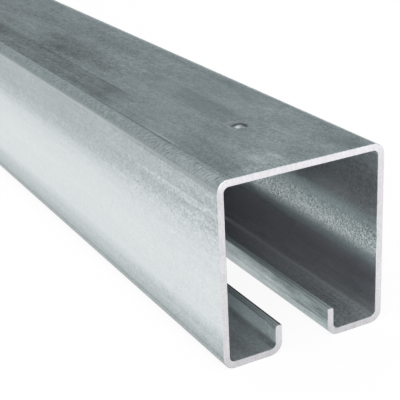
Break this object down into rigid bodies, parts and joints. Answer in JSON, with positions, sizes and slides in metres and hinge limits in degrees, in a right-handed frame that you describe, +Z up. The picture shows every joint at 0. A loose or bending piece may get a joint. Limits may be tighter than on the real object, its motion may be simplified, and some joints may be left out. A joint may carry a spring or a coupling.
{
  "type": "monorail track",
  "caption": "Straight running track bent from galvanised steel strip: a box section open along its underside, where two upturned lips edge the slot for a trolley's hanger.",
  "frame": {"origin": "on the underside, midway across and midway along the length", "axes": "+Z up through the closed top, +Y along the track away from the end with the pip, +X across to the right when looking along +Y"},
  "size_m": [0.064, 2, 0.0678],
  "materials": {
    "galvanised_steel": "galvanised, dull, with a faint spangle"
  },
  "bodies": {
    "root": {"track_profile": "galvanised_steel"}
  },
  "joints": []
}
